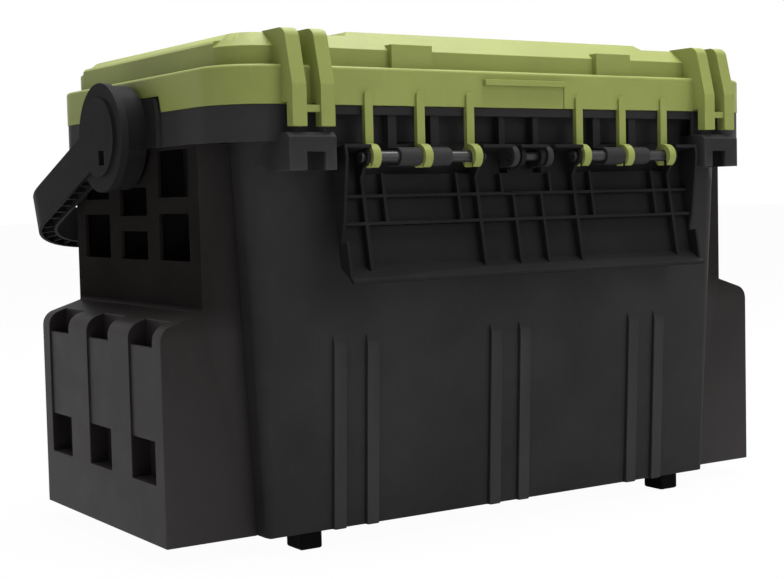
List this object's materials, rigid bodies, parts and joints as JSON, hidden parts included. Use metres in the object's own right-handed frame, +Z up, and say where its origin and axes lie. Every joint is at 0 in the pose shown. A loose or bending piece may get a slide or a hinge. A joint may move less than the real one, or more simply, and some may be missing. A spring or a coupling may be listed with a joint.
{
  "type": "tackle box",
  "caption": "Rigid fishing tackle box with a two-way hinged lid, hooked buckle flaps, a folding bail handle and rod sockets on both ends.",
  "frame": {"origin": "middle of the whole box's footprint on the floor, with the handle folded and the released buckle hanging", "axes": "+X along the box towards its right end, -Y towards the released buckle, +Z up"},
  "size_m": [0.524, 0.342, 0.344],
  "materials": {
    "black_body": "fine moulded grain",
    "black_rack": "fine moulded grain",
    "black_buckle": "satin moulding",
    "black_handle": "satin moulding",
    "black_pin": "smooth",
    "black_foot": "matt",
    "green_lid": "satin moulding"
  },
  "bodies": {
    "case": {"tub": "black_body", "rod_rack_left": "black_rack", "handle_bracket_left": "black_handle", "handle_pivot_left": "black_pin", "rod_rack_right": "black_rack", "handle_bracket_right": "black_handle", "handle_pivot_right": "black_pin", "front_centre_pin": "black_pin", "front_rod_left": "black_pin", "foot_front_left": "black_foot", "front_rod_right": "black_pin", "foot_front_right": "black_foot", "rear_centre_pin": "black_pin", "rear_rod_left": "black_pin", "foot_rear_left": "black_foot", "rear_rod_right": "black_pin", "foot_rear_right": "black_foot"},
    "lid": {"lid": "green_lid"},
    "front_buckle": {"front_buckle": "black_buckle"},
    "rear_buckle": {"rear_buckle": "black_buckle"},
    "handle": {"handle": "black_handle"}
  },
  "joints": [
    {"name": "lid_hinge", "type": "hinge", "parent": "case", "child": "lid", "pos_m": [0, 0.14527, 0.26], "axis": [-1, 0, 0], "range_deg": [0, 100]},
    {"name": "rear_buckle_hinge", "type": "hinge", "parent": "case", "child": "rear_buckle", "pos_m": [0, 0.14527, 0.26], "axis": [-1, 0, 0], "range_deg": [0, 100]},
    {"name": "front_buckle_hinge", "type": "hinge", "parent": "case", "child": "front_buckle", "pos_m": [0, -0.15573, 0.26], "axis": [-1, 0, 0], "range_deg": [0, 175]},
    {"name": "handle_hinge", "type": "hinge", "parent": "case", "child": "handle", "pos_m": [0, -0.00523, 0.2788], "axis": [1, 0, 0], "range_deg": [0, 220]}
  ],
  "couplings": [
    {"joint": "rear_buckle_hinge", "follows": "lid_hinge", "ratio": 1}
  ]
}
